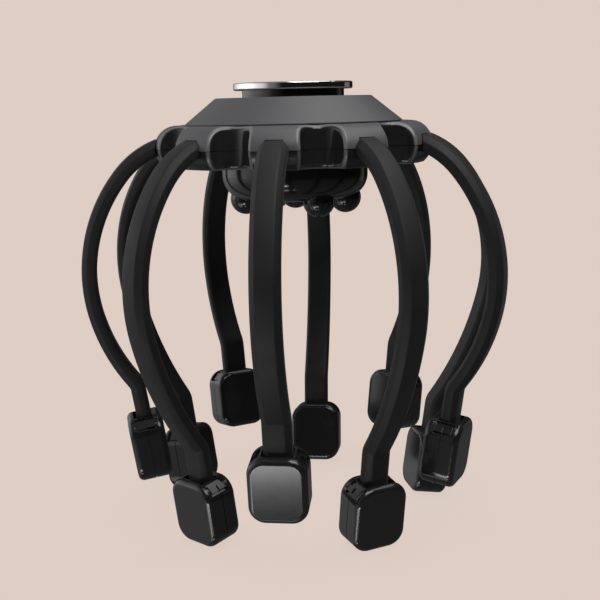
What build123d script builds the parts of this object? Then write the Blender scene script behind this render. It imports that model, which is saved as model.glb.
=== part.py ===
from build123d import *
import os
from math import sin, cos, radians, sqrt

os.makedirs("parts", exist_ok=True)

# Electric scalp massager: a round hub carries ten springy arms, and each arm ends in a
# vibrating claw. A pod with seven nubs hangs under the hub and a push button caps it.
# Millimetres, +Z up. Arm 1 points along -Y and the others follow every 36 degrees,
# towards +X. Everything is drawn with Z = 0 in the hub's parting plane, and LIFT, below,
# raises it at the end so that the five long arms stand on Z = 0.

# Arms -----------------------------------------------------------------------------------
ARM_COUNT = 10
ARM_PITCH = 360 / ARM_COUNT
PIVOT_R = 46.5                # ring on which the arms' knuckles turn
ROOT_R, ROOT_Z = 54.5, 0.65   # where the arm's centre line leaves the lobe
ROOT_DIP = 21                 # its slope there, below the horizontal
ROOT_RUN = 4.0                # straight stretch before that point
SHOULDER_R, SHOULDER_TURN = 34.2, 29      # the arm turns down over this arc,
BOW_R, BOW_TURN = 62.1, 54.9              # bows out and back in over this one,
SHANK_SHORT, SHANK_LONG = 30.1, 49.1      # runs in, gently curved, for this long
SHANK_TURN = 22.8             # with this turn in either length,
ANKLE_R, ANKLE_TURN = 6.0, 29.2           # and straightens up again above the claw
ANKLE_TO_CLAW = 24.0          # from the end of that arc to the middle of the claw
STRAP_W, STRAP_T = 10.8, 6.0
STRAP_CHAMFER_OUT, STRAP_CHAMFER_IN = 2.1, 1.2
KNUCKLE_R, KNUCKLE_W = 5.6, 10.4
NECK_W, NECK_T = 6.0, 3.8
GAP = 0.3                     # running gap between an arm and the hub
CLAW_LEAN = ROOT_DIP + SHOULDER_TURN + BOW_TURN + SHANK_TURN - ANKLE_TURN - 90

# Claws ----------------------------------------------------------------------------------
CLAW_W, CLAW_H, CLAW_T = 22.0, 26.0, 14.0
CLAW_TOP_CORNER, CLAW_BOTTOM_CORNER = 6.8, 6.4
CLAW_ROUND = 2.2              # rounded edge of both faces
CLAW_WALL = 1.6
STRAP_END = 7.0               # the strap ends this far above the middle of the claw
FLANGE_W, FLANGE_T, FLANGE_H = 13.0, 8.6, 1.6
FIT = 0.1                     # clearance round what is clamped in the claw
SEAM_H, SEAM_DEPTH = 0.3, 0.3             # groove where two covers or shells meet
POCKET_W, POCKET_FRONT, POCKET_DEPTH = 11.8, 4.4, 1.8   # sunk edge of the strap's hole
CLIP_DEPTH = 1.2                          # snap clips in windows on the claw's shoulders
WINDOW_LOW, WINDOW_HIGH, WINDOW_FRONT, WINDOW_BACK = -2.7, 2.7, -4.2, 3.4
TONGUE_LOW, TONGUE_HIGH, TONGUE_FRONT, TONGUE_TOP = -1.9, 1.6, -3.2, 0.75
CATCH_LOW, CATCH_HIGH, CATCH_TOP = -0.7, 1.6, 0.2
COIN_R, COIN_T, COIN_Z = 5.0, 3.4, -3.0   # the claw's coin motor
SEAT_WALL, SEAT_H = 1.0, 2.8

# Hub covers -----------------------------------------------------------------------------
PLATE_R, PLATE_Z = 30.8, 18.8             # flat top of the cone
CONE_R, CONE_Z = 42.8, 9.2                # foot of the cone
FOOT_Z, REVEAL_DEPTH = 8.9, 0.8           # shadow gap between the cone's foot and the rim
RIM_R = 8.7                   # round of the rim, about the knuckle ring
LIP_R = 1.7                   # rounded lips of the hollows and the rim's lower edge
PLATE_EDGE_R = 0.5
CORE_Z = 7.0                  # the rim is filled out up to here
BOTTOM_Z = -7.0
FLOOR_Z = -5.0
CEILING_Z, CEILING_R = 16.8, 30.1
CAVITY_R, CAVITY_SHOULDER_Z = 41.0, 7.3
SCOOP_R, SCOOP_AT_R = 7.4, 53.7           # hollows between the lobes
MOUTH_LOW_Z, MOUTH_HIGH_Z = -3.0, 4.0     # slot in the lobe that the neck swings in
CLAMP_OUT_R, CLAMP_IN_R = 40.3, 38.3
FIXING_COUNT = 5
BOSS_AT_R, BOSS_ANGLE, TOP_BOSS_R, LOW_BOSS_R = 34.5, 18, 3.0, 3.6
SCREW_R, SCREW_HEAD_R, SCREW_HEAD_H, SCREW_LENGTH = 1.0, 2.4, 1.6, 11.0
SCREW_HOLE_R, HEAD_HOLE_R, THREAD_HOLE_R = 1.2, 2.6, 1.02
CROSS_W, CROSS_L, CROSS_DEPTH = 0.6, 3.2, 0.7         # cross in the screw's head
SOCKET_ANGLE = 198            # the charging socket is in the hollow at the back
SOCKET_W, SOCKET_H, SOCKET_DEPTH, SOCKET_Z = 8.9, 3.2, 7.0, -3.2
SOCKET_FACE_R = 46.2
SOCKET_SHEET, SOCKET_TONGUE_W, SOCKET_TONGUE_T = 0.35, 6.7, 0.7

# Button ---------------------------------------------------------------------------------
DISC_R, DISC_T, DISC_Z, DISC_EDGE = 23.5, 2.8, 21.6, 0.6
STEM_R, STEM_WALL, STEM_HOLE_R = 20.1, 1.8, 20.4
STEM_FLANGE_R, STEM_FLANGE_LOW_Z, STEM_FLANGE_HIGH_Z = 22.4, 15.2, 16.7
BUTTON_TRAVEL = 1.2
SWITCH_W, SWITCH_H = 6.2, 3.4
PLUNGER_R, PLUNGER_H = 1.7, 0.6
BOSS_R = 3.0                  # boss of the stem that presses the switch
SPRING_R, SPRING_WIRE_R, SPRING_TURNS, SPRING_SEAT = 6.2, 0.35, 5, 0.42

# Electronics ----------------------------------------------------------------------------
BOARD_R, BOARD_T, BOARD_Z = 30.0, 1.6, 5.0
POST_AT_R, POST_ANGLE, POST_R = 28.0, 54, 1.6
BOARD_SCREW_R, BOARD_SCREW_HEAD_R, BOARD_SCREW_HEAD_H, BOARD_SCREW_LENGTH = 0.8, 1.5, 1.0, 5.0
COMPONENTS = (                # place across, place along, width, depth and height
    (-15, 4, 7, 7, 1.2), (14, 8, 5, 4, 1.4), (12, -10, 9, 6, 3.0), (-8, -16, 6, 3, 2.0))
BATTERY_L, BATTERY_W, BATTERY_H, BATTERY_Z, BATTERY_CORNER = 38.0, 30.0, 5.6, -0.5, 2.0
LEAD_R, LEAD_BEND = 0.6, 3.0
ARM_LEAD_AT_R = 26.2
SOCKET_LEAD_AT_R, SOCKET_LEAD_SIDE = 28.5, 3.4
BATTERY_LEAD_X, BATTERY_LEAD_SIDE = 22.5, 3.0

# Pod ------------------------------------------------------------------------------------
POD_R, POD_TOP_Z, POD_BOTTOM_Z, POD_CORNER = 29.0, -7.6, -21.0, 9.5
POD_WALL = 1.8
OPENING_R = 25.0              # opening in the hub's floor, over the pod
COLLAR_OUT_R, COLLAR_IN_R, COLLAR_TOP_Z = 24.8, 23.2, -5.2
SEAL_OUT_R = 28.6
NUB_COUNT = 6
NUB_R, NUB_AT_R, NUB_Z, NUB_ANGLE = 6.2, 20.0, -21.0, 34
MIDDLE_NUB_Z = -18.9          # the nub in the middle sits higher, as the head is round
PEG_R, PEG_TOP_Z = 1.8, -18.4
CRADLE_R, CRADLE_T, CRADLE_CLIP_R, CRADLE_CLIP_Z = 26.2, 1.6, 10.6, -11.0
MOTOR_R, MOTOR_TOP_Z, MOTOR_LOW_Z = 9.0, -3.6, -14.0
SHAFT_R, SHAFT_FIT, SHAFT_DEPTH = 1.0, 0.03, 2.0
WEIGHT_R, WEIGHT_TOP_Z, WEIGHT_LOW_Z, WEIGHT_FLAT = 8.5, -14.8, -17.8, 2.0

# The plane of arm 1: x is the distance from the hub's axis and y is the height.
ARM_PLANE = Plane(origin=(0, 0, 0), x_dir=(0, -1, 0), z_dir=(-1, 0, 0))


# Plain shapes ---------------------------------------------------------------------------
def drum(radius, low, high):
    """A solid cylinder on the hub's axis."""
    return Pos(0, 0, (low + high) / 2) * Cylinder(radius, high - low)


def ring(outer, inner, low, high):
    """A plain ring on the hub's axis."""
    return drum(outer, low, high) - drum(inner, low, high)


def post(radius, low, high, at_r, angle):
    """An upright cylinder at a distance from the axis; angle 0 is arm 1's direction."""
    return Rot(0, 0, angle) * Pos(0, -at_r, 0) * drum(radius, low, high)


def bar(radius, width):
    """A cylinder along arm 1's knuckle axis."""
    return Pos(0, -PIVOT_R, 0) * Rot(0, 90, 0) * Cylinder(radius, width)


def slab(width, near_r, far_r, low, high, angle=0.0):
    """A box that runs outwards from near_r to far_r, in the direction of angle."""
    box = Box(width, far_r - near_r, high - low)
    return Rot(0, 0, angle) * Pos(0, -(near_r + far_r) / 2, (low + high) / 2) * box


def wire_run(points, plane):
    """A round lead along a line with bent corners, drawn in the given plane."""
    path = plane * FilletPolyline(*points, radius=LEAD_BEND)
    section = Plane(origin=path @ 0, z_dir=path % 0) * Circle(LEAD_R)
    return sweep(section, path)


def around(count, first_angle):
    """Evenly spaced directions about the hub's axis."""
    return [first_angle + 360 / count * step for step in range(count)]


# Arms -----------------------------------------------------------------------------------
def arm_path(shank):
    """The strap's centre line as distance and height: arcs and short straights, all tangent."""
    dip = radians(ROOT_DIP)
    root = Vector(ROOT_R, ROOT_Z)
    with BuildLine() as flat:
        run = Line(root + Vector(-cos(dip), sin(dip)) * ROOT_RUN, root)
        shoulder = JernArc(run @ 1, run % 1, SHOULDER_R, -SHOULDER_TURN)
        bow = JernArc(shoulder @ 1, shoulder % 1, BOW_R, -BOW_TURN)
        gentle = JernArc(bow @ 1, bow % 1, shank / radians(SHANK_TURN), -SHANK_TURN)
        ankle = JernArc(gentle @ 1, gentle % 1, ANKLE_R, ANKLE_TURN)
        Line(ankle @ 1, ankle @ 1 + (ankle % 1) * (ANKLE_TO_CLAW - STRAP_END))
    return flat.wire()


def claw_middle(shank):
    """The middle of the claw, as distance from the axis and height."""
    path = arm_path(shank)
    return path @ 1 + (path % 1) * STRAP_END


def lowest_of_long_claw():
    """The height of the rounded outer lower edge, which the object stands on."""
    lean = radians(CLAW_LEAN)
    out, down = CLAW_T / 2 - CLAW_ROUND, CLAW_H / 2 - CLAW_ROUND
    return claw_middle(SHANK_LONG).Y - down * cos(lean) - out * sin(lean) - CLAW_ROUND


LIFT = -lowest_of_long_claw()


def strap_section():
    """The strap cut across: flat, with wide chamfers on its outer edges."""
    w, t = STRAP_W / 2, STRAP_T / 2
    out, back = STRAP_CHAMFER_OUT, STRAP_CHAMFER_IN
    return make_face(Polyline(
        (w - out, t), (w, t - out), (w, back - t), (w - back, -t),
        (back - w, -t), (-w, back - t), (-w, t - out), (out - w, t), close=True))


def claw_place(shank):
    """Where the claw is, from its own middle to its place on arm 1."""
    middle = claw_middle(shank)
    return Pos(0, -middle.X, middle.Y) * Rot(CLAW_LEAN, 0, 0)


def strap(shank):
    """A silicone strap on a spring core, with its knuckle and its end flange."""
    path = ARM_PLANE * arm_path(shank)
    section = Plane(origin=path @ 0, x_dir=(1, 0, 0), z_dir=path % 0) * strap_section()
    blade = sweep(section, path) - bar(RIM_R + GAP, 3 * STRAP_W)
    neck = slab(NECK_W, PIVOT_R, PIVOT_R + RIM_R + 2, -NECK_T / 2, NECK_T / 2)
    flange = Pos(0, 0, STRAP_END + FLANGE_H / 2) * Box(FLANGE_W, FLANGE_T, FLANGE_H)
    return blade + neck + bar(KNUCKLE_R, KNUCKLE_W) + claw_place(shank) * flange


# Claws, drawn about their own middle with the outer face towards -Y ------------------------
def claw_outline(inset):
    """The claw from the front: round shoulders and smaller corners below."""
    plate = Rectangle(CLAW_W - 2 * inset, CLAW_H - 2 * inset)
    ordered = plate.vertices().sort_by(Axis.Y)
    plate = fillet(ordered[2:], CLAW_TOP_CORNER - inset)
    corners = plate.vertices().sort_by(Axis.Y)[:2]
    return fillet(corners, CLAW_BOTTOM_CORNER - inset)


def claw_block():
    """The outside of a closed claw."""
    block = extrude(Plane.XZ * claw_outline(0), CLAW_T / 2, both=True)
    rims = block.edges().filter_by(lambda edge: abs(edge.center().Y) > CLAW_T / 2 - 0.01)
    return fillet(rims, CLAW_ROUND)


def shoulder_box(side, low, high, front, back, top, bottom):
    """A box across one round shoulder: low to high down the shoulder, top to bottom deep."""
    reach = CLAW_TOP_CORNER * (1 - sqrt(0.5))
    place = Pos(side * (CLAW_W / 2 - reach), 0, CLAW_H / 2 - reach) * Rot(0, side * 45, 0)
    middle = Pos(side * (low + high) / 2, (front + back) / 2, -(top + bottom) / 2)
    return place * middle * Box(high - low, back - front, bottom - top)


def claw_shells():
    """The outer and the inner shell, which close on each other at mid-thickness."""
    collar_low = STRAP_END - CLAW_WALL
    collar = Pos(0, 0, (collar_low + CLAW_H / 2) / 2)
    collar *= Box(FLANGE_W + 2 * CLAW_WALL, CLAW_T, CLAW_H / 2 - collar_low)
    hollow = extrude(Plane.XZ * claw_outline(CLAW_WALL), CLAW_T / 2 - CLAW_WALL, both=True)
    flange_room = Pos(0, 0, STRAP_END + FLANGE_H / 2)
    flange_room *= Box(FLANGE_W + 2 * FIT, FLANGE_T + 2 * FIT, FLANGE_H + 2 * FIT)
    strap_room = Pos(0, 0, CLAW_H / 2 + STRAP_END)
    strap_room *= Box(STRAP_W + 2 * FIT, STRAP_T + 2 * FIT, CLAW_H)
    pocket_back = STRAP_T / 2 + FIT
    pocket = Pos(0, (pocket_back - POCKET_FRONT) / 2, CLAW_H / 2)
    pocket *= Box(POCKET_W, POCKET_FRONT + pocket_back, 2 * POCKET_DEPTH)
    seam = extrude(Plane.XZ * (claw_outline(0) - claw_outline(SEAM_DEPTH)), SEAM_H / 2, both=True)
    body = claw_block() - (hollow - collar) - flange_room - strap_room - pocket - seam
    for side in (-1, 1):
        body -= shoulder_box(side, WINDOW_LOW, WINDOW_HIGH, WINDOW_FRONT, WINDOW_BACK,
                             -CLIP_DEPTH, CLIP_DEPTH)
    outer = split(body, Plane.XZ, keep=Keep.TOP)
    inner = split(body, Plane.XZ, keep=Keep.BOTTOM)
    back_wall = CLAW_T / 2 - CLAW_WALL
    seat = Cylinder(COIN_R + FIT + SEAT_WALL, SEAT_H) - Cylinder(COIN_R + FIT, SEAT_H)
    inner += Pos(0, back_wall - SEAT_H / 2, COIN_Z) * Rot(90, 0, 0) * seat
    for side in (-1, 1):
        inner += shoulder_box(side, TONGUE_LOW, TONGUE_HIGH, TONGUE_FRONT, WINDOW_BACK,
                              TONGUE_TOP, CLIP_DEPTH)
        inner += shoulder_box(side, CATCH_LOW, CATCH_HIGH, SEAM_H, WINDOW_BACK,
                              CATCH_TOP, CLIP_DEPTH)
    return outer, inner


def claw_motor():
    """A sealed coin motor that lies in the seat of the inner shell."""
    back_wall = CLAW_T / 2 - CLAW_WALL
    return Pos(0, back_wall - COIN_T / 2, COIN_Z) * Rot(90, 0, 0) * Cylinder(COIN_R, COIN_T)


# Hub covers -----------------------------------------------------------------------------
def lobed_rim(inset):
    """The round rim with its ten hollows and their rounded lips, inset all round."""
    rim = Torus(PIVOT_R, RIM_R - inset) + drum(PIVOT_R, BOTTOM_Z, CORE_Z)
    rim -= drum(2 * PIVOT_R, -2 * RIM_R, BOTTOM_Z)
    for angle in around(ARM_COUNT, ARM_PITCH / 2):
        rim -= post(SCOOP_R + inset, -2 * RIM_R, 2 * RIM_R, SCOOP_AT_R, angle)
    lips = rim.edges().filter_by(GeomType.BSPLINE)
    lips += rim.edges().filter_by(GeomType.CIRCLE).filter_by(is_on_the_bottom)
    return fillet(lips, LIP_R - inset)


def is_on_the_bottom(edge):
    """Whether an edge lies in the hub's flat bottom."""
    return abs(edge.center().Z - BOTTOM_Z) < 0.01


def hub_outside():
    """The hub as one closed block, with the groove between its two covers."""
    cone_h = PLATE_Z - CONE_Z
    cone = Pos(0, 0, CONE_Z + cone_h / 2) * Cone(CONE_R, PLATE_R, cone_h)
    cone = fillet(cone.edges().filter_by(GeomType.CIRCLE).sort_by(Axis.Z)[-1], PLATE_EDGE_R)
    neck = drum(CONE_R - REVEAL_DEPTH, 0, CONE_Z)
    block = lobed_rim(0) + neck + drum(CONE_R, FOOT_Z, CONE_Z) + cone
    groove = drum(2 * PIVOT_R, -SEAM_H / 2, SEAM_H / 2) - lobed_rim(SEAM_DEPTH)
    return block - groove


def knuckle_room():
    """The space that one arm takes in its lobe, over its whole swing."""
    room = bar(KNUCKLE_R + GAP, KNUCKLE_W + 2 * GAP)
    mouth_w = NECK_W + 2 * GAP
    return room + slab(mouth_w, PIVOT_R, PIVOT_R + 2 * RIM_R, MOUTH_LOW_Z, MOUTH_HIGH_Z)


def top_cover(block):
    """The cone and the upper half of the lobes, with bosses for the cover screws."""
    roof_h = CEILING_Z - CAVITY_SHOULDER_Z
    cavity = drum(CAVITY_R, 0, CAVITY_SHOULDER_Z)
    cavity += Pos(0, 0, CAVITY_SHOULDER_Z + roof_h / 2) * Cone(CAVITY_R, CEILING_R, roof_h)
    for angle in around(FIXING_COUNT, BOSS_ANGLE):
        cavity -= post(TOP_BOSS_R, 0, CEILING_Z, BOSS_AT_R, angle)
    cover = block - drum(2 * PIVOT_R, 2 * BOTTOM_Z, 0) - cavity
    cover -= drum(STEM_HOLE_R, 0, 2 * PLATE_Z)
    for angle in around(FIXING_COUNT, BOSS_ANGLE):
        cover -= post(THREAD_HOLE_R, 0, SCREW_LENGTH - SCREW_HEAD_H, BOSS_AT_R, angle)
    for angle in around(ARM_COUNT, 0):
        cover -= Rot(0, 0, angle) * knuckle_room()
    return cover


def bottom_cover(block):
    """The lower half of the lobes and the floor, with screw bosses and board posts."""
    cover = block - drum(2 * PIVOT_R, 0, 2 * PLATE_Z) - drum(CAVITY_R, FLOOR_Z, 0)
    cover -= drum(OPENING_R, BOTTOM_Z, 0)
    for angle in around(FIXING_COUNT, POST_ANGLE):
        cover += post(POST_R, FLOOR_Z, BOARD_Z, POST_AT_R, angle)
        cover -= post(BOARD_SCREW_R, 0, BOARD_Z, POST_AT_R, angle)
    head_top = BOTTOM_Z + SCREW_HEAD_H
    for angle in around(FIXING_COUNT, BOSS_ANGLE):
        cover += post(LOW_BOSS_R, FLOOR_Z, 0, BOSS_AT_R, angle)
        cover -= post(SCREW_HOLE_R, BOTTOM_Z, 0, BOSS_AT_R, angle)
        cover -= post(HEAD_HOLE_R, BOTTOM_Z, head_top, BOSS_AT_R, angle)
    for angle in around(ARM_COUNT, 0):
        cover -= Rot(0, 0, angle) * knuckle_room()
    half_h = SOCKET_H / 2 + FIT
    cover -= slab(SOCKET_W + 2 * FIT, CLAMP_IN_R, SCOOP_AT_R, SOCKET_Z - half_h,
                  SOCKET_Z + half_h, SOCKET_ANGLE)
    return cover


def clamp_ring():
    """Stops the knuckles from slipping inwards; the leads pass through its holes."""
    body = ring(CLAMP_OUT_R, CLAMP_IN_R, FLOOR_Z, -FLOOR_Z)
    for angle in around(ARM_COUNT, 0):
        hole = Pos(0, -CLAMP_OUT_R, 0) * Rot(90, 0, 0) * Cylinder(LEAD_R + GAP, 8)
        body -= Rot(0, 0, angle) * hole
    notch_w = SOCKET_W + 4 * FIT
    return body - slab(notch_w, CLAMP_IN_R - 1, CAVITY_R, FLOOR_Z, -FLOOR_Z, SOCKET_ANGLE)


def cover_screws():
    """Five screws that come up through the floor into the top cover's bosses."""
    head_top = BOTTOM_Z + SCREW_HEAD_H
    screw = drum(SCREW_HEAD_R, BOTTOM_Z + FIT, head_top)
    screw += drum(SCREW_R, head_top, head_top + SCREW_LENGTH)
    for width, length in ((CROSS_W, CROSS_L), (CROSS_L, CROSS_W)):
        screw -= Pos(0, 0, BOTTOM_Z + FIT) * Box(width, length, 2 * CROSS_DEPTH)
    spots = around(FIXING_COUNT, BOSS_ANGLE)
    return Compound([Rot(0, 0, angle) * Pos(0, -BOSS_AT_R, 0) * screw for angle in spots])


def charging_socket():
    """A flat oval metal shell, open outwards, with a tongue inside."""
    shell = extrude(RectangleRounded(SOCKET_W, SOCKET_H, SOCKET_H / 2 - 0.01), SOCKET_DEPTH)
    mouth_w, mouth_h = SOCKET_W - 2 * SOCKET_SHEET, SOCKET_H - 2 * SOCKET_SHEET
    mouth = extrude(RectangleRounded(mouth_w, mouth_h, mouth_h / 2 - 0.01), SOCKET_DEPTH - 1)
    tongue = Box(SOCKET_TONGUE_W, SOCKET_TONGUE_T, SOCKET_DEPTH - 1)
    tongue = Pos(0, 0, SOCKET_DEPTH / 2) * tongue
    socket = shell - mouth + tongue
    return Rot(0, 0, SOCKET_ANGLE) * Pos(0, -SOCKET_FACE_R, SOCKET_Z) * Rot(-90, 0, 0) * socket


# Button -----------------------------------------------------------------------------------
def button_disc():
    """The polished disc that is pressed."""
    disc = drum(DISC_R, DISC_Z, DISC_Z + DISC_T)
    return fillet(disc.edges().filter_by(GeomType.CIRCLE), DISC_EDGE)


def button_stem():
    """The collar under the disc, with a retaining flange and a boss over the switch."""
    inner_r = STEM_R - STEM_WALL
    web_low = DISC_Z - STEM_WALL
    boss_low = BOARD_Z + BOARD_T + SWITCH_H + PLUNGER_H + BUTTON_TRAVEL + FIT
    stem = drum(STEM_R, STEM_FLANGE_LOW_Z, DISC_Z)
    stem += drum(STEM_FLANGE_R, STEM_FLANGE_LOW_Z, STEM_FLANGE_HIGH_Z)
    stem -= drum(inner_r, STEM_FLANGE_LOW_Z, web_low)
    return stem + drum(BOSS_R, boss_low, web_low)


def button_spring():
    """The coil that lifts the button, between the board and the stem's web."""
    low = BOARD_Z + BOARD_T + SPRING_SEAT
    height = DISC_Z - STEM_WALL - SPRING_SEAT - low
    coil = Helix(height / SPRING_TURNS, height, SPRING_R)
    section = Plane(origin=coil @ 0, z_dir=coil % 0) * Circle(SPRING_WIRE_R)
    return Pos(0, 0, low) * sweep(section, coil, is_frenet=True)


def power_switch():
    """A tact switch in the middle of the board."""
    low = BOARD_Z + BOARD_T
    body = Pos(0, 0, low + SWITCH_H / 2) * Box(SWITCH_W, SWITCH_W, SWITCH_H)
    return body + drum(PLUNGER_R, low + SWITCH_H, low + SWITCH_H + PLUNGER_H)


# Electronics --------------------------------------------------------------------------------
def control_board():
    """The round board on its five posts."""
    board = drum(BOARD_R, BOARD_Z, BOARD_Z + BOARD_T)
    for angle in around(FIXING_COUNT, POST_ANGLE):
        board -= post(BOARD_SCREW_R + FIT, BOARD_Z, BOARD_Z + BOARD_T, POST_AT_R, angle)
    return board


def board_components():
    """The larger components on top of the board."""
    top = BOARD_Z + BOARD_T
    blocks = []
    for x, y, width, depth, height in COMPONENTS:
        blocks.append(Pos(x, y, top + height / 2) * Box(width, depth, height))
    return Compound(blocks)


def board_screws():
    """Five small screws that hold the board down."""
    top = BOARD_Z + BOARD_T
    screw = drum(BOARD_SCREW_R, top - BOARD_SCREW_LENGTH, top)
    screw += drum(BOARD_SCREW_HEAD_R, top, top + BOARD_SCREW_HEAD_H)
    spots = around(FIXING_COUNT, POST_ANGLE)
    return Compound([Rot(0, 0, angle) * Pos(0, -POST_AT_R, 0) * screw for angle in spots])


def battery_cell():
    """A flat pouch cell that lies between the motor and the board."""
    cell = Pos(0, 0, BATTERY_Z) * Box(BATTERY_L, BATTERY_W, BATTERY_H)
    return fillet(cell.edges().filter_by(Axis.Z), BATTERY_CORNER)


def lead_wires():
    """Leads from the arms, the charging socket and the battery up to the board."""
    arm_run = [(CLAMP_OUT_R, 0), (ARM_LEAD_AT_R, 0), (ARM_LEAD_AT_R, BOARD_Z)]
    socket_run = [(SOCKET_FACE_R - SOCKET_DEPTH, SOCKET_Z), (SOCKET_LEAD_AT_R, SOCKET_Z),
                  (SOCKET_LEAD_AT_R, BOARD_Z)]
    battery_run = [(BATTERY_L / 2, BATTERY_Z), (BATTERY_LEAD_X, BATTERY_Z),
                   (BATTERY_LEAD_X, BOARD_Z)]
    arm_lead = wire_run(arm_run, ARM_PLANE)
    leads = [Rot(0, 0, angle) * arm_lead for angle in around(ARM_COUNT, 0)]
    for side in (-1, 1):
        socket_lead = Pos(side * SOCKET_LEAD_SIDE, 0, 0) * wire_run(socket_run, ARM_PLANE)
        leads.append(Rot(0, 0, SOCKET_ANGLE) * socket_lead)
        battery_lead = Pos(side * BATTERY_LEAD_SIDE, 0, 0) * wire_run(battery_run, ARM_PLANE)
        leads.append(Rot(0, 0, 90) * battery_lead)
    return Compound(leads)


# Pod ----------------------------------------------------------------------------------------
def pod_block(shrink):
    """The pod's outside, or its inside when shrunk by the wall."""
    block = drum(POD_R - shrink, POD_BOTTOM_Z + shrink, POD_TOP_Z)
    low_rim = block.edges().filter_by(GeomType.CIRCLE).sort_by(Axis.Z)[0]
    return fillet(low_rim, POD_CORNER - shrink)


def nub_spots():
    """Where the pegs of the nubs pass through the pod, as distance and angle."""
    return [(NUB_AT_R, angle) for angle in around(NUB_COUNT, NUB_ANGLE)] + [(0, 0)]


def pod_cup():
    """The glossy cup under the hub, with a collar that plugs into the floor."""
    rim_low = POD_TOP_Z - POD_WALL
    cup = pod_block(0) - (pod_block(POD_WALL) - ring(POD_R, COLLAR_IN_R, rim_low, POD_TOP_Z))
    cup += ring(COLLAR_OUT_R, COLLAR_IN_R, rim_low, COLLAR_TOP_Z)
    for at_r, angle in nub_spots():
        cup -= post(PEG_R, POD_BOTTOM_Z, PEG_TOP_Z, at_r, angle)
    return cup


def pod_nubs():
    """Six round nubs on the pod's lower edge and one in the middle."""
    nubs = []
    for at_r, angle in nub_spots():
        height = NUB_Z if at_r else MIDDLE_NUB_Z
        ball = Rot(0, 0, angle) * Pos(0, -at_r, height) * Sphere(NUB_R)
        peg = post(PEG_R, POD_BOTTOM_Z - 1, PEG_TOP_Z, at_r, angle)
        nubs.append(ball - pod_block(0) + peg)
    return Compound(nubs)


def motor_cradle():
    """The plate over the opening in the floor, with a clip that grips the motor."""
    plate = drum(CRADLE_R, FLOOR_Z, FLOOR_Z + CRADLE_T)
    clip = drum(CRADLE_CLIP_R, CRADLE_CLIP_Z, FLOOR_Z)
    return plate + clip - drum(MOTOR_R + FIT / 2, CRADLE_CLIP_Z, FLOOR_Z + CRADLE_T)


def pod_motor():
    """The pod's motor, shaft downwards."""
    can = drum(MOTOR_R, MOTOR_LOW_Z, MOTOR_TOP_Z)
    return can - drum(SHAFT_R + SHAFT_FIT, MOTOR_LOW_Z, MOTOR_LOW_Z + SHAFT_DEPTH)


def motor_weight():
    """The half-round weight whose turning makes the pod shake."""
    half = drum(WEIGHT_R, WEIGHT_LOW_Z, WEIGHT_TOP_Z)
    half -= slab(2 * WEIGHT_R, WEIGHT_FLAT, WEIGHT_R, WEIGHT_LOW_Z, WEIGHT_TOP_Z, 180)
    return half + drum(SHAFT_R, WEIGHT_TOP_Z, MOTOR_LOW_Z + SHAFT_DEPTH - FIT)


# All the pieces -------------------------------------------------------------------------------
hub = hub_outside()
pieces = {
    "hub_top_cover": top_cover(hub),
    "hub_bottom_cover": bottom_cover(hub),
    "arm_clamp_ring": clamp_ring(),
    "cover_screws": cover_screws(),
    "charging_socket": charging_socket(),
    "button_disc": button_disc(),
    "button_stem": button_stem(),
    "button_spring": button_spring(),
    "power_switch": power_switch(),
    "control_board": control_board(),
    "board_components": board_components(),
    "board_screws": board_screws(),
    "battery_cell": battery_cell(),
    "lead_wires": lead_wires(),
    "pod_cup": pod_cup(),
    "pod_seal": ring(SEAL_OUT_R, COLLAR_OUT_R + FIT, POD_TOP_Z, BOTTOM_Z),
    "pod_nubs": pod_nubs(),
    "motor_cradle": motor_cradle(),
    "pod_motor": pod_motor(),
    "motor_weight": motor_weight(),
}

outer_shell, inner_shell = claw_shells()
coin_motor = claw_motor()
for number in range(1, ARM_COUNT + 1):
    shank_length = SHANK_SHORT if number % 2 else SHANK_LONG
    turn = Rot(0, 0, ARM_PITCH * (number - 1))
    claw = turn * claw_place(shank_length)
    pieces[f"arm_{number:02d}_strap"] = turn * strap(shank_length)
    pieces[f"arm_{number:02d}_claw_outer_shell"] = claw * outer_shell
    pieces[f"arm_{number:02d}_claw_inner_shell"] = claw * inner_shell
    pieces[f"arm_{number:02d}_claw_motor"] = claw * coin_motor

for name, piece in pieces.items():
    export_step(Pos(0, 0, LIFT) * piece, f"parts/{name}.step")
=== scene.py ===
from math import cos, pi, radians, sin

import bmesh
import bpy
from mathutils import Matrix, Vector


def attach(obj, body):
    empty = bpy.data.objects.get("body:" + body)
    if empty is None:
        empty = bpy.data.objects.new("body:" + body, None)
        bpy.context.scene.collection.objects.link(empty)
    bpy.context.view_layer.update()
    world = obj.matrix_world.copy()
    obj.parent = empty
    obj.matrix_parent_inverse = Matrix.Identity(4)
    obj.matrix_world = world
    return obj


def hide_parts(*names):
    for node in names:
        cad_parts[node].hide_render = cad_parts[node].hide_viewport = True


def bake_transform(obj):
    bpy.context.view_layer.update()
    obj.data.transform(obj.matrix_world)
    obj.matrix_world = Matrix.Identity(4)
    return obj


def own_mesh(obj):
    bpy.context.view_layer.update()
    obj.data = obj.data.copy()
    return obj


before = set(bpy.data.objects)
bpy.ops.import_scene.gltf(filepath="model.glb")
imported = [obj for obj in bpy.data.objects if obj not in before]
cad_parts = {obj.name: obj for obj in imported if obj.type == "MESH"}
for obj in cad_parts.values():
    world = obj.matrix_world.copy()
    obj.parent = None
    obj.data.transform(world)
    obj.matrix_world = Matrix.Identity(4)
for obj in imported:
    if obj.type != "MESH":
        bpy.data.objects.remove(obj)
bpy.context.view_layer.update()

# Studio -----------------------------------------------------------------------------------
# A pale warm sweep with no seam between floor and wall, so the black massager stands on one
# plain tone. The room is dim and a few soft boxes light it, as for any glossy black object.
LIFT = 0.14901734               # the height of the hub's parting plane above the floor
STAGE_COLOUR = "DECEC3"

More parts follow.
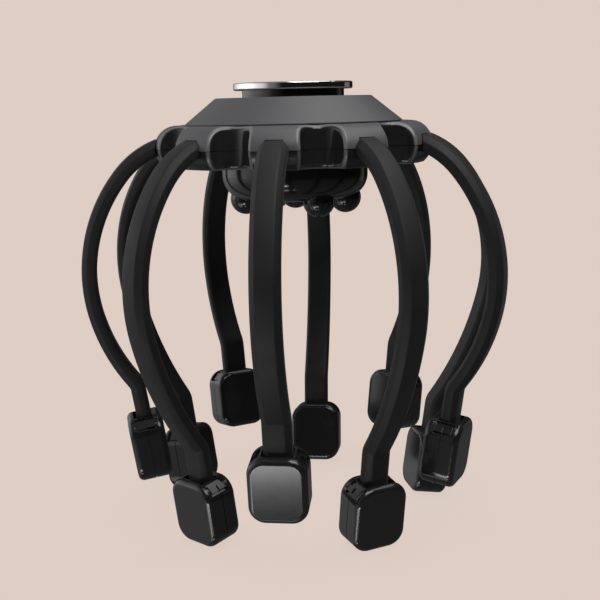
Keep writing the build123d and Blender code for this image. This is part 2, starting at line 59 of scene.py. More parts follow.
# sockets that only their number tells apart, on a colour Mix node and on a Map Range node
SHARE, FIRST, SECOND, RESULT = 0, 6, 7, 2
VALUE, FROM_LOW, FROM_HIGH, TO_LOW, TO_HIGH = 0, 1, 2, 3, 4


def linear(code):
    """An sRGB hex colour as the linear colour that a shader takes."""
    parts = [int(code[at:at + 2], 16) / 255 for at in (0, 2, 4)]
    return tuple(p / 12.92 if p <= 0.04045 else ((p + 0.055) / 1.055) ** 2.4 for p in parts) + (1,)


def set_inputs(tree, node, inputs):
    """Links each of a node's inputs to the socket it is given, or sets it to the plain value."""
    for socket, value in inputs.items():
        if isinstance(value, bpy.types.NodeSocket):
            tree.links.new(value, node.inputs[socket])
        else:
            node.inputs[socket].default_value = value


def add_node(tree, kind, inputs=None, **settings):
    """Adds a shader node with its settings and inputs."""
    node = tree.nodes.new(kind)
    for name, value in settings.items():
        setattr(node, name, value)
    set_inputs(tree, node, inputs or {})
    return node


bpy.context.scene.view_settings.view_transform = "Standard"

# the camera stands in front of arm 1, a little to its right, and looks slightly down
SENSOR_WIDTH, LENS = 36, 63.34                  # millimetres
CAMERA_AWAY, CAMERA_UP = 0.4245, 0.0162         # from the hub's axis and its parting plane
CAMERA_SIDE, CAMERA_TURN, CAMERA_DOWN, CAMERA_ROLL = 7.59, 0.1, 10.55, -1.40    # degrees
camera = bpy.data.objects.new("camera", bpy.data.cameras.new("camera"))
bpy.context.scene.collection.objects.link(camera)
camera.data.sensor_width = SENSOR_WIDTH
camera.data.lens = LENS
side = radians(CAMERA_SIDE)
camera.location = (CAMERA_AWAY * sin(side), -CAMERA_AWAY * cos(side), LIFT + CAMERA_UP)
turn = Matrix.Rotation(side - radians(CAMERA_TURN), 4, "Z")
tilt = Matrix.Rotation(radians(90 - CAMERA_DOWN), 4, "X")
roll = Matrix.Rotation(radians(CAMERA_ROLL), 4, "Z")
camera.rotation_euler = (turn @ tilt @ roll).to_euler()
bpy.context.scene.camera = camera

world = bpy.data.worlds.new("studio_room")
world.use_nodes = True
room = world.node_tree
room.nodes.clear()
toward = add_node(room, "ShaderNodeTexCoord").outputs["Generated"]


def room_ramp(along, stops):
    """The room's brightness along one direction, by its stops from -1, behind, to 1, ahead."""
    reach = add_node(room, "ShaderNodeVectorMath", {0: toward, 1: along}, operation="DOT_PRODUCT")
    halved = add_node(room, "ShaderNodeMapRange",
                      {VALUE: reach.outputs["Value"], FROM_LOW: -1.0, FROM_HIGH: 1.0})
    ramp = add_node(room, "ShaderNodeValToRGB", {0: halved.outputs[0]})
    ramp.color_ramp.interpolation = "EASE"
    while len(ramp.color_ramp.elements) < len(stops):
        ramp.color_ramp.elements.new(0.5)
    for mark, (position, level) in zip(ramp.color_ramp.elements, stops):
        mark.position = (position + 1) / 2
        mark.color = (level, level, level, 1)
    return ramp.outputs[0]


# a pale wall far on the left that fades to a dark room in front and on the right, with a
# weak light all round and a glow from low on the left
TO_WALL, UPWARD, TO_LOW_LEFT = (-1, 0.1, 0), (0, 0, 1), (-0.58, -0.48, -0.66)
GLOW_LEVEL, ROOM_STRENGTH = 0.8, 1.5
wall = room_ramp(TO_WALL, ((-1, 0.0), (0.1, 0.0), (0.5, 0.12), (0.8, 0.6), (1, 1.0)))
storey = room_ramp(UPWARD, ((-1, 0.12), (-0.45, 0.22), (-0.15, 0.45),
                            (0.05, 1.0), (0.5, 0.8), (0.8, 0.2)))
ambient = room_ramp(UPWARD, ((-1, 0.08), (-0.3, 0.06), (-0.1, 0.006),
                             (0.3, 0.006), (0.6, 0.08), (1, 0.15)))
low_left = room_ramp(TO_LOW_LEFT, ((-1, 0.0), (0.94, 0.0), (0.99, 1.0)))
lit = add_node(room, "ShaderNodeVectorMath", {0: wall, 1: storey, 2: ambient},
               operation="MULTIPLY_ADD")
both = add_node(room, "ShaderNodeVectorMath",
                {0: low_left, 1: (GLOW_LEVEL, GLOW_LEVEL, GLOW_LEVEL), 2: lit.outputs[0]},
                operation="MULTIPLY_ADD")
dim_room = add_node(room, "ShaderNodeBackground",
                    {"Color": both.outputs[0], "Strength": ROOM_STRENGTH})
sweep = add_node(room, "ShaderNodeBackground", {"Color": linear(STAGE_COLOUR), "Strength": 1.0})
# the camera sees the plain sweep, and the object's gloss sees the room
seen = add_node(room, "ShaderNodeLightPath")
mixed = add_node(room, "ShaderNodeMixShader", {
    0: seen.outputs["Is Camera Ray"], 1: dim_room.outputs[0], 2: sweep.outputs[0]})
add_node(room, "ShaderNodeOutputWorld", {"Surface": mixed.outputs[0]})
bpy.context.scene.world = world


def soft_box(name, azimuth, elevation, distance, width, height, brightness, colour):
    """A rectangular soft light that faces the hub, as bright as that wherever it is seen."""
    lamp = bpy.data.lights.new(name, "AREA")
    lamp.shape = "RECTANGLE"
    lamp.size = width
    lamp.size_y = height
    lamp.energy = brightness * pi * width * height
    lamp.color = linear(colour)[:3]
    box = bpy.data.objects.new(name, lamp)
    bpy.context.scene.collection.objects.link(box)
    az, el = radians(azimuth), radians(elevation)
    away = Vector((sin(az) * cos(el), -cos(az) * cos(el), sin(el)))
    box.location = Vector((0, 0, LIFT)) + away * distance
    box.rotation_euler = away.to_track_quat("Z", "Y").to_euler()


# degrees to the right of the front and degrees up, then distance, width, height, brightness
WHITE, WARM_WHITE = "FFFFFF", "FFF1E6"
soft_box("top_box", 108, 70, 0.8, 0.7, 0.7, 1.8, WHITE)
soft_box("front_right_box", 36, 50, 0.9, 0.75, 0.55, 4.1, WHITE)
soft_box("right_card", 135, -6, 0.9, 0.35, 0.3, 0.16, WARM_WHITE)
soft_box("low_front_box", -10, -36.3, 0.87, 0.30, 0.10, 9.2, WHITE)
soft_box("low_left_box", -31, -40, 0.87, 0.16, 0.16, 4.5, WHITE)
soft_box("under_box", -12, -57, 0.87, 0.30, 0.08, 3.5, WHITE)

# Seamless paper, calendered matt: one even tone that meets the wall, with a faint shade only
# where a claw stands on it. It neither lights the object nor shows in its gloss.
FLOOR_SIZE, SHADE_REACH, DEEPEST_SHADE = 6, 0.03, 0.93
bpy.ops.object.select_all(action="DESELECT")
bpy.ops.mesh.primitive_plane_add(size=FLOOR_SIZE, location=(0, 0, 0))
floor = bpy.context.object
floor.name = "studio_floor"
floor.visible_diffuse = False
floor.visible_glossy = False
floor.visible_shadow = False
paper = bpy.data.materials.new("pale_sweep_paper")
paper.use_nodes = True
tree = paper.node_tree
tree.nodes.clear()
corner_shade = add_node(tree, "ShaderNodeAmbientOcclusion", {"Distance": SHADE_REACH}, samples=8)
shade = add_node(tree, "ShaderNodeMapRange",
                 {VALUE: corner_shade.outputs["AO"], TO_LOW: DEEPEST_SHADE, TO_HIGH: 1.0})
tone = add_node(tree, "ShaderNodeMix", {
    SHARE: shade.outputs[0], FIRST: (0, 0, 0, 1), SECOND: linear(STAGE_COLOUR)}, data_type="RGBA")
glow = add_node(tree, "ShaderNodeEmission", {"Color": tone.outputs[RESULT], "Strength": 1.0})
add_node(tree, "ShaderNodeOutputMaterial", {"Surface": glow.outputs[0]})
floor.data.materials.append(paper)


# Hub covers -------------------------------------------------------------------------------
# Two ABS mouldings, screwed together, that meet half way up a rim of ten lobes. The top one,
# with its cone, is spark-eroded to a matt charcoal and the lower one finely eroded black. The
# hollows between the lobes are polished black on both, and their lips are softly polished, with
# a painted highlight: a lighter colour along each lip.
def new_material(name):
    """A material with its tree, its Principled shader and the place on the piece to read."""
    made = bpy.data.materials.new(name)
    made.use_nodes = True
    tree = made.node_tree
    tree.nodes.clear()
    shader = add_node(tree, "ShaderNodeBsdfPrincipled")
    add_node(tree, "ShaderNodeOutputMaterial", {"Surface": shader.outputs[0]})
    return made, tree, shader, add_node(tree, "ShaderNodeTexCoord").outputs["Object"]


def dress(node_name, material):
    """Gives a CAD node its finish."""
    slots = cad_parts[node_name].data.materials
    slots.clear()
    slots.append(material)


# the hollows' number, their axes' distance from the hub's, and how far from them the polish
# reaches and the lip beyond it, each with the width over which it fades
HOLLOWS, HOLLOW_AT, HOLLOW_R, HOLLOW_FADE = 10, 0.0537, 0.0076, 0.0003
LIP, LIP_FADE = 0.0015, 0.0004
HOLLOW_COLOUR, HOLLOW_ROUGHNESS, LIP_ROUGHNESS = "222223", 0.14, 0.28
ABS_IOR = 1.54


def cover_material(name, dark, light, roughness, edge):
    """Eroded ABS outside, polished lips painted edge as a highlight, and polished black hollows.
    """
    made, tree, shader, place = new_material(name)
    # the ten hollows are folded onto one, and measured from its axis
    split = add_node(tree, "ShaderNodeSeparateXYZ", {0: place})
    angle = add_node(tree, "ShaderNodeMath", {0: split.outputs["Y"], 1: split.outputs["X"]},
                     operation="ARCTAN2")
    folded = add_node(tree, "ShaderNodeMath",
                      {0: angle.outputs[0], 1: pi / HOLLOWS, 2: -pi / HOLLOWS}, operation="WRAP")
    across = add_node(tree, "ShaderNodeVectorMath", {0: place, 1: (1, 1, 0)},
                      operation="MULTIPLY")
    radius = add_node(tree, "ShaderNodeVectorMath", {0: across.outputs[0]}, operation="LENGTH")
    turned = add_node(tree, "ShaderNodeCombineXYZ", {0: radius.outputs["Value"]})
    folded_place = add_node(tree, "ShaderNodeVectorRotate", {
        "Vector": turned.outputs[0], "Angle": folded.outputs[0]}, rotation_type="Z_AXIS")
    to_hollow = add_node(tree, "ShaderNodeVectorMath", {
        0: folded_place.outputs[0], 1: (HOLLOW_AT, 0, 0)}, operation="DISTANCE")
    polished = add_node(tree, "ShaderNodeMapRange", {
        VALUE: to_hollow.outputs["Value"], FROM_LOW: HOLLOW_R, FROM_HIGH: HOLLOW_R + HOLLOW_FADE,
        TO_LOW: 1.0, TO_HIGH: 0.0})
    lipped = add_node(tree, "ShaderNodeMapRange", {
        VALUE: to_hollow.outputs["Value"], FROM_LOW: HOLLOW_R + LIP - LIP_FADE,
        FROM_HIGH: HOLLOW_R + LIP, TO_LOW: 1.0, TO_HIGH: 0.0})
    # clouding of the moulded resin, 20 mm across
    cloud = add_node(tree, "ShaderNodeTexNoise", {"Vector": place, "Scale": 50, "Detail": 3})
    resin = add_node(tree, "ShaderNodeMix", {
        SHARE: cloud.outputs[0], FIRST: linear(dark), SECOND: linear(light)}, data_type="RGBA")
    # painted highlight: the lips take the lighter colour edge in place of the light their rounds
    # catch
    lip = add_node(tree, "ShaderNodeMix", {
        SHARE: lipped.outputs[0], FIRST: resin.outputs[RESULT], SECOND: linear(edge)},
        data_type="RGBA")
    colour = add_node(tree, "ShaderNodeMix", {
        SHARE: polished.outputs[0], FIRST: lip.outputs[RESULT], SECOND: linear(HOLLOW_COLOUR)},
        data_type="RGBA")
    lip_rough = add_node(tree, "ShaderNodeMapRange", {
        VALUE: lipped.outputs[0], TO_LOW: roughness, TO_HIGH: LIP_ROUGHNESS})
    rough = add_node(tree, "ShaderNodeMapRange", {
        VALUE: polished.outputs[0], TO_LOW: lip_rough.outputs[0], TO_HIGH: HOLLOW_ROUGHNESS})
    # the eroded grain is 0.1 mm, drawn as 0.5 mm so that it shows
    grain = add_node(tree, "ShaderNodeTexNoise", {"Vector": place, "Scale": 2000, "Detail": 2})
    strength = add_node(tree, "ShaderNodeMapRange", {
        VALUE: lipped.outputs[0], TO_LOW: 0.35, TO_HIGH: 0.0})
    relief = add_node(tree, "ShaderNodeBump", {
        "Height": grain.outputs[0], "Distance": 0.00005, "Strength": strength.outputs[0]})
    set_inputs(tree, shader, {
        "Base Color": colour.outputs[RESULT], "Roughness": rough.outputs[0],
        "Normal": relief.outputs[0], "IOR": ABS_IOR})
    return made


# Spark-eroded ABS scatters light from its pitted skin and looks dry and matt. The finer
# erosion of the lower cover leaves it black with a dull satin gleam.
# each edge colour is a painted highlight on the lips, lighter than the eroded ABS
dress("hub_top_cover", cover_material(
    "spark_eroded_abs", dark="4A4A4C", light="525254", roughness=0.5, edge="6A6A6C"))
dress("hub_bottom_cover", cover_material(
    "fine_eroded_black_abs", dark="161617", light="1C1C1D", roughness=0.28, edge="5A5A5C"))

# Straps -----------------------------------------------------------------------------------
# Each arm is a strap of matt black silicone, moulded in one piece with its knuckle, round a
# spring-steel core. It has wide soft chamfers outside and springs sideways over the head.
ARMS, ARM_STEP = 10, 36                         # the arms, and the degrees between them
PIVOT_R = 0.0465                                # from the hub's axis to the arm's hinge
RIM_GAP_R, RIM_GAP_W = 0.0090, 0.03             # the lobe's round gap about the hinge
# where the strap leaves the lobe, how steeply, and how long the straight bar there is
ROOT_R, ROOT_Z, ROOT_DIP, ROOT_RUN = 0.0545, 0.00065, radians(21), 0.004
# the arcs from the root down: radius, how far each turns, and the steps that it is drawn in
SHOULDER_R, SHOULDER_TURN, SHOULDER_STEPS = 0.0342, radians(29), 10
BOW_R, BOW_TURN, BOW_STEPS = 0.0621, radians(54.9), 26
SHANK_TURN, SHANK_STEPS = radians(22.8), 12
SHANKS = {"short": 0.0301, "long": 0.0491}      # the shank's length on either kind of arm
ANKLE_R, ANKLE_TURN, ANKLE_STEPS = 0.0060, radians(29.2), 12
ANKLE_TO_FLANGE, FOOT_STEPS = 0.0170, 4
STRAP_W, STRAP_T, CHAMFER_OUT, CHAMFER_IN, SOFT_EDGE = 0.0108, 0.0060, 0.0021, 0.0012, 0.0004
NECK_SIZE, NECK_EDGE = (0.0060, 0.0107, 0.0038), 0.0004
KNUCKLE_R, KNUCKLE_W, BAR_EDGE = 0.0056, 0.0104, 0.0003
FLANGE_SIZE, FLANGE_EDGE = (0.0130, 0.0086, 0.0016), 0.0003
GAP_FACETS, KNUCKLE_FACETS = 96, 48
STRAP_CREASE = radians(32)                      # an edge sharper than this stays an edge
NEAR, TOUCHING = 1e-5, 1e-6                     # places closer than these count as one


def deselect_all():
    """Nothing is selected and edit mode is off."""
    if bpy.context.mode != "OBJECT":
        bpy.ops.object.mode_set(mode="OBJECT")
    bpy.ops.object.select_all(action="DESELECT")


def pick(mesh_object, kind, wanted):
    """Selects the edges or faces, in edit mode, whose middle passes the test."""
    bpy.ops.mesh.select_mode(type=kind)
    bpy.ops.mesh.select_all(action="DESELECT")
    sketch = bmesh.from_edit_mesh(mesh_object.data)
    for part in (sketch.edges if kind == "EDGE" else sketch.faces):
        corners = [v.co for v in part.verts]
        if wanted(sum(corners, Vector()) / len(corners), part):
            part.select_set(True)
    bmesh.update_edit_mesh(mesh_object.data)


def outward(slope):
    """The way arm 1 runs when it slopes down by that angle."""
    return Vector((0, -cos(slope), -sin(slope)))


def arc_middle(point, slope, radius, inward):
    """The middle of an arc that leaves a point at that slope and turns in or out."""
    down = Vector((0, sin(slope), -cos(slope)))
    return point + down * (radius if inward else -radius)


def carve(target, tool, operation):
    """Joins a second shape to the piece, or cuts it away, and removes the second shape."""
    deselect_all()
    bpy.context.view_layer.objects.active = target
    step = target.modifiers.new(operation.lower(), "BOOLEAN")
    step.operation = operation
    step.solver = "EXACT"
    step.object = tool
    bpy.ops.object.modifier_apply(modifier=step.name)
    bpy.data.objects.remove(tool)


def place_in_mesh(piece):
    """Moves a piece's place and turn into its mesh."""
    deselect_all()
    piece.select_set(True)
    bpy.context.view_layer.objects.active = piece
    bpy.ops.object.transform_apply(location=True, rotation=True, scale=True)


def strap_blank(name, shank):
    """Arm 1's strap, drawn out along its arcs from a short chamfered bar."""
    slope = ROOT_DIP
    along = outward(slope)
    up = Vector((0, -sin(slope), cos(slope)))
    root = Vector((0, -ROOT_R, LIFT + ROOT_Z))
    start = root - along * ROOT_RUN
    middle = (start + root) / 2
    deselect_all()
    bpy.ops.mesh.primitive_cube_add(size=1, location=middle, rotation=(slope, 0, 0),
                                    scale=(STRAP_W, ROOT_RUN, STRAP_T))
    strap = bpy.context.object
    strap.name = name
    place_in_mesh(strap)
    bpy.ops.object.mode_set(mode="EDIT")
    # the bar's four long edges are chamfered, more outside than inside, and then softened
    for outside, width in ((1, CHAMFER_OUT), (-1, CHAMFER_IN)):
        pick(strap, "EDGE", lambda at, edge: abs((at - middle).dot(along)) < NEAR
             and (at - middle).dot(up) * outside > STRAP_T / 2 - NEAR
             and abs(at.x) > STRAP_W / 2 - NEAR)
        bpy.ops.mesh.bevel(offset=width, segments=1, affect="EDGES")
    pick(strap, "EDGE", lambda at, edge: abs((at - middle).dot(along)) < NEAR)
    bpy.ops.mesh.bevel(offset=SOFT_EDGE, segments=3, affect="EDGES")
    pick(strap, "FACE",
         lambda at, face: abs(abs((at - middle).dot(along)) - ROOT_RUN / 2) < NEAR)
    bpy.ops.mesh.delete(type="ONLY_FACE")
    # the outline at the root is drawn round the four arcs, and on to the flange
    pick(strap, "EDGE", lambda at, edge: (at - root).dot(along) > -NEAR)
    point = root
    for radius, turn_by, steps, inward in ((SHOULDER_R, SHOULDER_TURN, SHOULDER_STEPS, True),
                                           (BOW_R, BOW_TURN, BOW_STEPS, True),
                                           (shank / SHANK_TURN, SHANK_TURN, SHANK_STEPS, True),
                                           (ANKLE_R, ANKLE_TURN, ANKLE_STEPS, False)):
        centre = arc_middle(point, slope, radius, inward)
        sense = 1 if inward else -1
        bpy.ops.mesh.spin(steps=steps, angle=-sense * turn_by, center=centre, axis=(1, 0, 0))
        point = centre + Matrix.Rotation(sense * turn_by, 3, "X") @ (point - centre)
        slope += sense * turn_by
    for step in range(FOOT_STEPS):
        bpy.ops.mesh.extrude_region_move(
            TRANSFORM_OT_translate={"value": outward(slope) * ANKLE_TO_FLANGE / FOOT_STEPS})
    point = point + outward(slope) * ANKLE_TO_FLANGE
    # both ends are closed
    bpy.ops.mesh.edge_face_add()
    pick(strap, "EDGE", lambda at, edge: (at - start).dot(along) < NEAR and at.z > LIFT)
    bpy.ops.mesh.edge_face_add()
    bpy.ops.mesh.select_all(action="SELECT")
    bpy.ops.mesh.remove_doubles(threshold=TOUCHING)
    bpy.ops.mesh.normals_make_consistent(inside=False)
    return strap, point, slope


def bar_across(radius, width, facets):
    """A round bar across arm 1 at its pivot, with softened ends."""
    deselect_all()
    bpy.ops.mesh.primitive_cylinder_add(vertices=facets, radius=radius, depth=width,
                                        location=(0, -PIVOT_R, LIFT), rotation=(0, radians(90), 0))
    rod = bpy.context.object
    place_in_mesh(rod)
    bpy.ops.object.mode_set(mode="EDIT")
    pick(rod, "EDGE", lambda at, edge: abs(abs(at.x) - width / 2) < TOUCHING)
    bpy.ops.mesh.bevel(offset=BAR_EDGE, segments=2, affect="EDGES")
    deselect_all()
    return rod


def softened_block(size, at, lean, edge):
    """A block of that size with rounded edges, turned about the arm's cross axis."""
    deselect_all()
    bpy.ops.mesh.primitive_cube_add(size=1, location=at, rotation=(lean, 0, 0), scale=size)
    block = bpy.context.object
    place_in_mesh(block)
    bpy.ops.object.mode_set(mode="EDIT")
    bpy.ops.mesh.select_all(action="SELECT")
    bpy.ops.mesh.bevel(offset=edge, segments=2, affect="EDGES")
    deselect_all()
    return block


def whole_strap(name, shank):
    """The strap with its root cut to the lobe's round, and its neck, knuckle and flange."""
    strap, end, slope = strap_blank(name, shank)
    carve(strap, bar_across(RIM_GAP_R, RIM_GAP_W, GAP_FACETS), "DIFFERENCE")
    neck_at = (0, -PIVOT_R - NECK_SIZE[1] / 2, LIFT)
    carve(strap, softened_block(NECK_SIZE, neck_at, 0, NECK_EDGE), "UNION")
    carve(strap, bar_across(KNUCKLE_R, KNUCKLE_W, KNUCKLE_FACETS), "UNION")
    flange_at = end - outward(slope) * (FLANGE_SIZE[2] / 2)
    flange = softened_block(FLANGE_SIZE, flange_at, slope - radians(90), FLANGE_EDGE)
    carve(strap, flange, "UNION")
    deselect_all()
    strap.select_set(True)
    bpy.context.view_layer.objects.active = strap
    bpy.ops.object.shade_smooth_by_angle(angle=STRAP_CREASE)
    return strap


# Moulded silicone: a soft satin black that scatters light, with a powdery bloom in patches
# 11 mm across and a velvet edge.
silicone, tree, shader, place = new_material("moulded_silicone")
bloom = add_node(tree, "ShaderNodeTexNoise", {
    "Vector": place, "Scale": 90, "Detail": 5, "Roughness": 0.6})
tone = add_node(tree, "ShaderNodeMix", {
    SHARE: bloom.outputs[0], FIRST: linear("151516"), SECOND: linear("1C1C1D")},
    data_type="RGBA")
rough = add_node(tree, "ShaderNodeMapRange", {
    VALUE: bloom.outputs[0], FROM_LOW: 0.3, FROM_HIGH: 0.7, TO_LOW: 0.5, TO_HIGH: 0.62})
# the mould's blasted skin is 0.05 mm, drawn as 0.4 mm so that it shows
skin = add_node(tree, "ShaderNodeTexNoise", {"Vector": place, "Scale": 2500, "Detail": 2})
relief = add_node(tree, "ShaderNodeBump", {
    "Height": skin.outputs[0], "Distance": 0.00005, "Strength": 0.3})
set_inputs(tree, shader, {
    "Base Color": tone.outputs[RESULT], "Roughness": rough.outputs[0],
    "Normal": relief.outputs[0], "IOR": 1.43, "Specular IOR Level": 0.35, "Sheen Weight": 0.05})

blanks = {length: whole_strap(length + "_strap", shank) for length, shank in SHANKS.items()}
for number in range(1, ARMS + 1):
    blank = blanks["short" if number % 2 else "long"]
    strap = bpy.data.objects.new(f"arm_{number:02d}_silicone_strap", blank.data.copy())
    bpy.context.scene.collection.objects.link(strap)
    strap.rotation_euler = (0, 0, radians(ARM_STEP * (number - 1)))
    place_in_mesh(strap)
    strap.data.materials.append(silicone)
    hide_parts(f"arm_{number:02d}_strap")
    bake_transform(strap)
for blank in blanks.values():
    bpy.data.objects.remove(blank)

# Claws ------------------------------------------------------------------------------------
# Two polished shells snap together over the strap's flange, with a catch on each shoulder.
# A sealed coin motor, a drawn steel can, lies in a seat inside.

# ABS moulded against a polished mould: a deep wet black gloss, broken only by waves 8 mm long
# in the skin and by hairline rub marks in patches of 4 mm. The pod and the collar share it.
gloss_abs, tree, shader, place = new_material("polished_black_abs")
wave = add_node(tree, "ShaderNodeTexNoise", {"Vector": place, "Scale": 120, "Detail": 1})
relief = add_node(tree, "ShaderNodeBump", {
    "Height": wave.outputs[0], "Distance": 0.0002, "Strength": 0.012})
wear = add_node(tree, "ShaderNodeTexNoise", {
    "Vector": place, "Scale": 260, "Detail": 6, "Roughness": 0.7})
rough = add_node(tree, "ShaderNodeMapRange", {
    VALUE: wear.outputs[0], FROM_LOW: 0.3, FROM_HIGH: 0.7, TO_LOW: 0.125, TO_HIGH: 0.15})
tone = add_node(tree, "ShaderNodeMix", {
    SHARE: wear.outputs[0], FIRST: linear("1C1C1D"), SECOND: linear("212122")},
    data_type="RGBA")
set_inputs(tree, shader, {
    "Base Color": tone.outputs[RESULT], "Roughness": rough.outputs[0],
    "Normal": relief.outputs[0], "IOR": ABS_IOR})

# Deep-drawn steel: a grey metal sheen, broken into level streaks by the die. They are 1.4 mm
# long and 0.12 mm high.
drawn_steel, tree, shader, place = new_material("deep_drawn_steel")
streak = add_node(tree, "ShaderNodeMapping", {"Vector": place, "Scale": (1, 1, 12)})
draw_lines = add_node(tree, "ShaderNodeTexNoise", {
    "Vector": streak.outputs[0], "Scale": 700, "Detail": 4})
tone = add_node(tree, "ShaderNodeMix", {
    SHARE: draw_lines.outputs[0], FIRST: linear("A8A8AA"), SECOND: linear("C2C2C4")},
    data_type="RGBA")
rough = add_node(tree, "ShaderNodeMapRange", {
    VALUE: draw_lines.outputs[0], TO_LOW: 0.22, TO_HIGH: 0.4})
set_inputs(tree, shader, {
    "Base Color": tone.outputs[RESULT], "Roughness": rough.outputs[0], "Metallic": 1})

for number in range(1, ARMS + 1):
    dress(f"arm_{number:02d}_claw_outer_shell", gloss_abs)
    dress(f"arm_{number:02d}_claw_inner_shell", gloss_abs)
    dress(f"arm_{number:02d}_claw_motor", drawn_steel)

# Pod --------------------------------------------------------------------------------------
# A polished cup under the hub holds a motor with an off-centre weight. A thin seal closes it
# against the hub, and six round nubs and one in the middle press on the crown.
for name in ("pod_cup", "pod_nubs"):
    dress(name, gloss_abs)
dress("pod_seal", silicone)
dress("pod_motor", drawn_steel)

# Sintered tungsten alloy: a dull dark grey metal, pitted all over. The pores are 0.05 mm,
# drawn as 0.25 mm so that they show.
sintered, tree, shader, place = new_material("sintered_tungsten")
pores = add_node(tree, "ShaderNodeTexVoronoi", {"Vector": place, "Scale": 4000})
tone = add_node(tree, "ShaderNodeMix", {
    SHARE: pores.outputs["Distance"], FIRST: linear("6E6E70"), SECOND: linear("8C8C8E")},
    data_type="RGBA")
relief = add_node(tree, "ShaderNodeBump", {
    "Height": pores.outputs["Distance"], "Distance": 0.00005})
set_inputs(tree, shader, {
    "Base Color": tone.outputs[RESULT], "Normal": relief.outputs[0],
    "Metallic": 1, "Roughness": 0.5})
dress("motor_weight", sintered)

# Inner frame ------------------------------------------------------------------------------
# The cradle over the pod and the ring that keeps the ten knuckles in place are natural nylon,
# moulded to shape.

# Moulded nylon: milky, slightly waxy, and a little yellow where it is thick, in flow marks
# 14 mm across.
nylon, tree, shader, place = new_material("moulded_nylon")
flow = add_node(tree, "ShaderNodeTexNoise", {
    "Vector": place, "Scale": 70, "Detail": 3, "Distortion": 1.2})
tone = add_node(tree, "ShaderNodeMix", {
    SHARE: flow.outputs[0], FIRST: linear("D9D5C6"), SECOND: linear("E6E3D8")},
    data_type="RGBA")
rough = add_node(tree, "ShaderNodeMapRange", {
    VALUE: flow.outputs[0], TO_LOW: 0.4, TO_HIGH: 0.55})
set_inputs(tree, shader, {
    "Base Color": tone.outputs[RESULT], "Roughness": rough.outputs[0], "IOR": 1.53})
for name in ("arm_clamp_ring", "motor_cradle"):
    dress(name, nylon)

# Screws and socket ------------------------------------------------------------------------
# Ten cold-headed screws, five that hold the covers and five that hold the board, and the
# charging socket with its folded shell. All of them are zinc-plated steel.

# Zinc plating: a cool bright grey with a faint yellow bloom in specks of 1.1 mm.
plated, tree, shader, place = new_material("zinc_plated_steel")
bloom = add_node(tree, "ShaderNodeTexNoise", {"Vector": place, "Scale": 900, "Detail": 4})
tone = add_node(tree, "ShaderNodeMix", {
    SHARE: bloom.outputs[0], FIRST: linear("B4B6BA"), SECOND: linear("C9C8C2")},
    data_type="RGBA")
rough = add_node(tree, "ShaderNodeMapRange", {
    VALUE: bloom.outputs[0], TO_LOW: 0.22, TO_HIGH: 0.38})
set_inputs(tree, shader, {
    "Base Color": tone.outputs[RESULT], "Roughness": rough.outputs[0], "Metallic": 1})
for name in ("cover_screws", "board_screws", "charging_socket"):
    dress(name, plated)

# Board ------------------------------------------------------------------------------------
# A glass-epoxy board under green solder mask, with black moulded chips, a tactile switch, a
# foil pouch cell beneath it and thin PVC leads to the arms, the cell and the socket.

# Solder mask over copper: a glossy green, paler along the tracks. They are 0.3 mm apart, drawn
# 1 mm apart so that they show.
masked, tree, shader, place = new_material("solder_masked_board")
tracks = add_node(tree, "ShaderNodeTexBrick", {
    "Vector": place, "Scale": 260, "Mortar Size": 0.08, "Color1": linear("1D5B33"),
    "Color2": linear("1A532F"), "Mortar": linear("2C7A45")})
set_inputs(tree, shader, {"Base Color": tracks.outputs["Color"], "Roughness": 0.3})
dress("control_board", masked)

# Transfer-moulded epoxy: a dead matt black with grey specks of filler. They are 0.05 mm, drawn
# as 0.3 mm so that they show.
epoxy, tree, shader, place = new_material("transfer_moulded_epoxy")
speck = add_node(tree, "ShaderNodeTexNoise", {"Vector": place, "Scale": 3000, "Detail": 2})
tone = add_node(tree, "ShaderNodeMix", {
    SHARE: speck.outputs[0], FIRST: linear("1C1C1E"), SECOND: linear("2A2A2C")},
    data_type="RGBA")
set_inputs(tree, shader, {"Base Color": tone.outputs[RESULT], "Roughness": 0.6})
for name in ("board_components", "power_switch"):
    dress(name, epoxy)

# Foil laminate, pressed round the cell: a soft silver, crinkled every 6 mm.
pouch, tree, shader, place = new_material("pressed_foil_laminate")
crinkle = add_node(tree, "ShaderNodeTexNoise", {
    "Vector": place, "Scale": 160, "Detail": 6, "Roughness": 0.6})
relief = add_node(tree, "ShaderNodeBump", {
    "Height": crinkle.outputs[0], "Distance": 0.0002, "Strength": 0.3})
tone = add_node(tree, "ShaderNodeMix", {
    SHARE: crinkle.outputs[0], FIRST: linear("AEAEB2"), SECOND: linear("C6C6CA")},
    data_type="RGBA")
set_inputs(tree, shader, {
    "Base Color": tone.outputs[RESULT], "Normal": relief.outputs[0],
    "Metallic": 1, "Roughness": 0.35})
dress("battery_cell", pouch)

# Extruded PVC: a smooth, slightly waxy red skin, shaded every 2.5 mm where the die drew it.
insulation, tree, shader, place = new_material("extruded_pvc")
draw_down = add_node(tree, "ShaderNodeTexNoise", {"Vector": place, "Scale": 400, "Detail": 2})
tone = add_node(tree, "ShaderNodeMix", {
    SHARE: draw_down.outputs[0], FIRST: linear("8E1414"), SECOND: linear("A51B1B")},
    data_type="RGBA")
set_inputs(tree, shader, {"Base Color": tone.outputs[RESULT], "Roughness": 0.35})
dress("lead_wires", insulation)

# Button -----------------------------------------------------------------------------------
# A steel disc, turned, buffed and bright plated, is pressed onto a polished black collar that
# slides down into the cover and works the switch on the board.

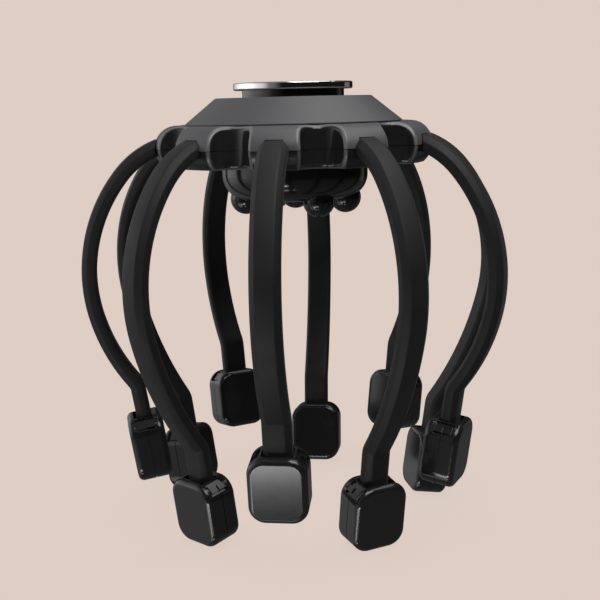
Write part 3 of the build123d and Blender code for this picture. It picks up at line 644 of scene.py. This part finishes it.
# Chrome over buffed steel: a near mirror, with a faint haze from the wheel in patches of 2 mm
# and hairlines within them.
plating, tree, shader, place = new_material("buffed_chrome_plate")
haze = add_node(tree, "ShaderNodeTexNoise", {
    "Vector": place, "Scale": 500, "Detail": 5, "Roughness": 0.7})
rough = add_node(tree, "ShaderNodeMapRange", {
    VALUE: haze.outputs[0], FROM_LOW: 0.3, FROM_HIGH: 0.7, TO_LOW: 0.05, TO_HIGH: 0.11})
tone = add_node(tree, "ShaderNodeMix", {
    SHARE: haze.outputs[0], FIRST: linear("DEDCDA"), SECOND: linear("E8E6E4")},
    data_type="RGBA")
set_inputs(tree, shader, {
    "Base Color": tone.outputs[RESULT], "Roughness": rough.outputs[0], "Metallic": 1})
dress("button_disc", plating)
dress("button_stem", gloss_abs)

# Spring -----------------------------------------------------------------------------------
# A coil of round plated wire, wound cold, stands between the board and the collar's web. It
# lifts the button.
COIL_R, WIRE_R, COIL_TURNS, COIL_HEIGHT = 0.0062, 0.00035, 5, 0.01236
WIRE_FACETS, COIL_STEPS, COIL_CREASE = 12, 32, radians(40)
# the seat on the board above the hub's parting plane, and the first turn's middle above that
SEAT_Z, SEAT_GAP = 0.0066, 0.00042
deselect_all()
bpy.ops.mesh.primitive_circle_add(vertices=WIRE_FACETS, radius=WIRE_R, fill_type="NOTHING",
                                  location=(COIL_R, 0, LIFT + SEAT_Z + SEAT_GAP),
                                  rotation=(radians(90), 0, 0))
spring = bpy.context.object
spring.name = "button_coil_spring"
place_in_mesh(spring)
wind = spring.modifiers.new("wind", "SCREW")
wind.axis = "Z"
wind.angle = 2 * pi
wind.iterations = COIL_TURNS
wind.steps = COIL_STEPS
wind.render_steps = COIL_STEPS
wind.screw_offset = COIL_HEIGHT / COIL_TURNS
bpy.ops.object.modifier_apply(modifier="wind")
bpy.ops.object.mode_set(mode="EDIT")
half_way_up = LIFT + SEAT_Z + COIL_HEIGHT / 2
pick(spring, "EDGE", lambda at, edge: edge.is_boundary and at.z < half_way_up)
bpy.ops.mesh.edge_face_add()
pick(spring, "EDGE", lambda at, edge: edge.is_boundary and at.z > half_way_up)
bpy.ops.mesh.edge_face_add()
bpy.ops.mesh.select_all(action="SELECT")
bpy.ops.mesh.normals_make_consistent(inside=False)
deselect_all()
spring.select_set(True)
bpy.ops.object.shade_smooth_by_angle(angle=COIL_CREASE)
spring.data.materials.append(plated)
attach(spring, "hub")
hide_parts("button_spring")
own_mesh(spring)
